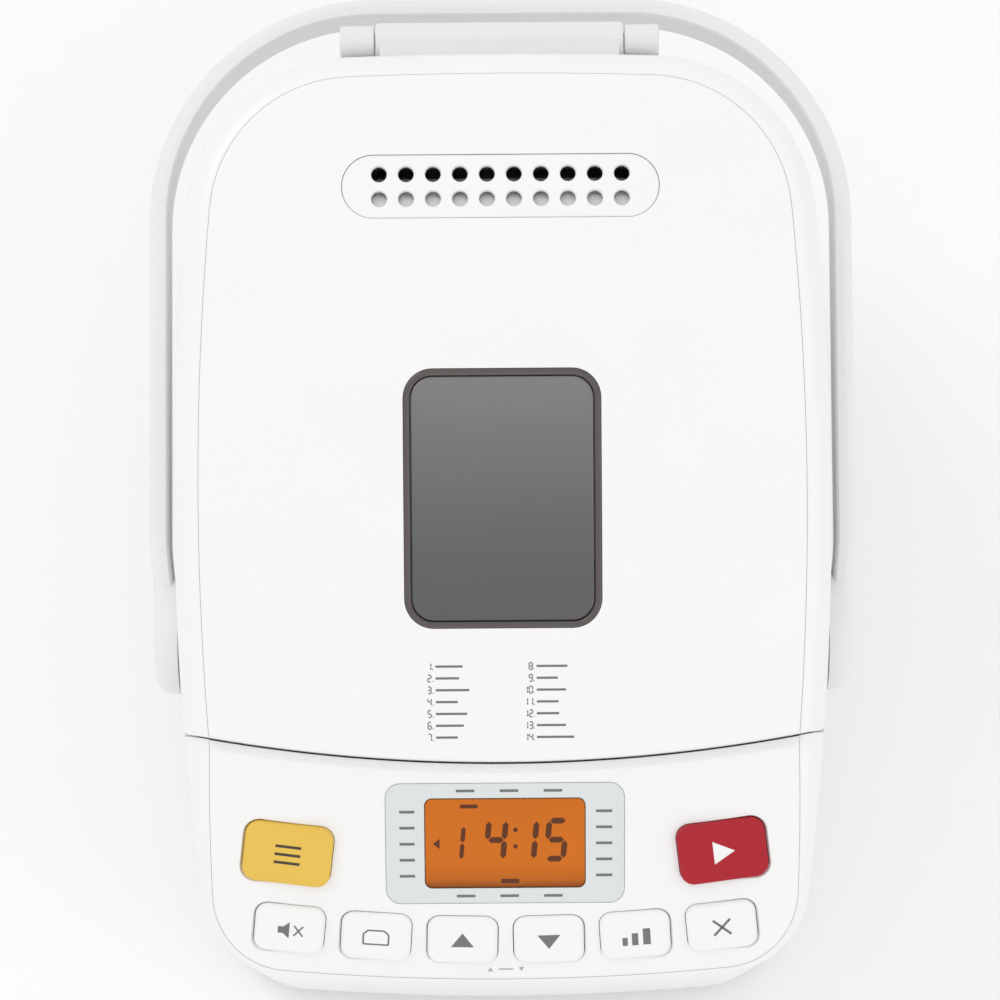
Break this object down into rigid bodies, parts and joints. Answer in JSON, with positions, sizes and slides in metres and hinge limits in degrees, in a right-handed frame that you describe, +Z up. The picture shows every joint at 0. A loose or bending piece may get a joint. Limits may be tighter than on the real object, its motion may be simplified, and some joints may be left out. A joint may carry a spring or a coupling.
{
  "type": "bread machine",
  "caption": "Tall white bread machine: hinged lid with window and steam vent, sloping control panel, swing-over carry handle, and a lift-out pan with kneading paddle inside an oven.",
  "frame": {"origin": "on the surface that the machine stands on, under the middle of its overall box", "axes": "+Z up; -Y towards the control panel at the front; +X to the right of someone facing the control panel"},
  "size_m": [0.2486, 0.3487, 0.3],
  "materials": {
    "white_gloss": "smooth white moulding, soft gloss",
    "white_satin": "satin off-white moulding",
    "pale_grey": "pale grey moulding",
    "dark_trim": "dark brown-black trim",
    "smoked_glass": "smoked glass",
    "amber_display": "amber backlit display window",
    "yellow_plastic": "yellow key cap",
    "red_plastic": "crimson key cap",
    "steel": "bright steel",
    "aluminium": "satin aluminised sheet",
    "non_stick": "grey non-stick coating",
    "black_plastic": "black moulding",
    "rubber": "dark rubber",
    "silicone": "pale silicone",
    "circuit_board": "green board",
    "ceramic": "white ceramic"
  },
  "bodies": {
    "cabinet": {"base_plate": "white_satin", "foot_front_left": "rubber", "foot_front_right": "rubber", "foot_rear_left": "rubber", "foot_rear_right": "rubber", "body_shell": "white_gloss", "control_panel": "white_gloss", "display_bezel": "pale_grey", "display_window": "amber_display", "display_module": "black_plastic", "control_board": "circuit_board", "power_board": "circuit_board", "oven_chamber": "aluminium", "heating_element": "steel", "element_bushing_front": "ceramic", "element_bushing_rear": "ceramic", "temperature_probe": "steel", "shaft_bearing": "steel", "drive_belt": "rubber", "motor": "steel", "motor_bracket": "steel", "pan_socket": "aluminium", "hinge_bracket_left": "pale_grey", "hinge_bracket_right": "pale_grey", "hinge_pin": "steel", "cord_gland": "black_plastic", "handle_pivot_left": "pale_grey", "handle_pivot_right": "pale_grey"},
    "lid": {"lid_cover": "white_gloss", "lid_frame": "white_gloss", "inner_lid_plate": "aluminium", "lid_seal": "silicone", "window_bezel": "dark_trim", "window_outer": "smoked_glass", "window_inner": "smoked_glass", "vent_grille": "white_gloss", "steam_duct": "black_plastic", "lid_knuckle": "pale_grey"},
    "handle": {"carry_handle": "white_satin"},
    "pan": {"bread_pan": "non_stick", "pan_base_ring": "aluminium", "pan_shaft_seal": "silicone", "pan_ear_front": "steel", "pan_ear_rear": "steel"},
    "bail": {"pan_bail": "steel"},
    "paddle": {"kneading_paddle": "non_stick", "pan_shaft": "steel", "pan_coupling": "steel"},
    "drive": {"drive_shaft": "steel", "drive_pulley": "black_plastic", "drive_coupling": "steel"},
    "rotor": {"motor_pulley": "black_plastic"},
    "button_menu": {"button_menu": "yellow_plastic"},
    "button_start": {"button_start": "red_plastic"},
    "button_quiet": {"button_quiet": "white_gloss"},
    "button_crust": {"button_crust": "white_gloss"},
    "button_up": {"button_up": "white_gloss"},
    "button_down": {"button_down": "white_gloss"},
    "button_size": {"button_size": "white_gloss"},
    "button_cancel": {"button_cancel": "white_gloss"}
  },
  "joints": [
    {"name": "lid_hinge", "type": "hinge", "parent": "cabinet", "child": "lid", "pos_m": [0, 0.1488, 0.275], "axis": [-1, 0, 0], "range_deg": [0, 78]},
    {"name": "handle_swing", "type": "hinge", "parent": "cabinet", "child": "handle", "pos_m": [0, -0.0515, 0.215], "axis": [1, 0, 0], "range_deg": [0, 90]},
    {"name": "pan_lift", "type": "slide", "parent": "cabinet", "child": "pan", "axis": [0, 0, 1], "range_m": [0, 0.05]},
    {"name": "bail_swing", "type": "hinge", "parent": "pan", "child": "bail", "pos_m": [0, 0.018, 0.183], "axis": [0, 1, 0], "range_deg": [0, 180]},
    {"name": "drive_spin", "type": "hinge", "parent": "cabinet", "child": "drive", "pos_m": [0, 0.018, 0.03], "axis": [0, 0, 1], "continuous": true},
    {"name": "motor_spin", "type": "hinge", "parent": "cabinet", "child": "rotor", "pos_m": [0, -0.1295, 0.03], "axis": [0, 0, 1], "continuous": true},
    {"name": "paddle_spin", "type": "hinge", "parent": "pan", "child": "paddle", "pos_m": [0, 0.018, 0.08], "axis": [0, 0, 1], "continuous": true},
    {"name": "menu_press", "type": "slide", "parent": "cabinet", "child": "button_menu", "axis": [0, 0.4219, -0.9066], "range_m": [0, 0.0012], "stiffness_N_per_m": 600},
    {"name": "start_press", "type": "slide", "parent": "cabinet", "child": "button_start", "axis": [0, 0.4219, -0.9066], "range_m": [0, 0.0012], "stiffness_N_per_m": 600},
    {"name": "quiet_press", "type": "slide", "parent": "cabinet", "child": "button_quiet", "axis": [0, 0.5238, -0.8518], "range_m": [0, 0.0012], "stiffness_N_per_m": 600},
    {"name": "crust_press", "type": "slide", "parent": "cabinet", "child": "button_crust", "axis": [0, 0.5339, -0.8455], "range_m": [0, 0.0012], "stiffness_N_per_m": 600},
    {"name": "up_press", "type": "slide", "parent": "cabinet", "child": "button_up", "axis": [0, 0.5388, -0.8424], "range_m": [0, 0.0012], "stiffness_N_per_m": 600},
    {"name": "down_press", "type": "slide", "parent": "cabinet", "child": "button_down", "axis": [0, 0.5388, -0.8424], "range_m": [0, 0.0012], "stiffness_N_per_m": 600},
    {"name": "size_press", "type": "slide", "parent": "cabinet", "child": "button_size", "axis": [0, 0.5339, -0.8455], "range_m": [0, 0.0012], "stiffness_N_per_m": 600},
    {"name": "cancel_press", "type": "slide", "parent": "cabinet", "child": "button_cancel", "axis": [0, 0.5238, -0.8518], "range_m": [0, 0.0012], "stiffness_N_per_m": 600}
  ],
  "couplings": [
    {"joint": "motor_spin", "follows": "drive_spin", "ratio": 4.8889},
    {"joint": "paddle_spin", "follows": "drive_spin", "ratio": 1}
  ]
}
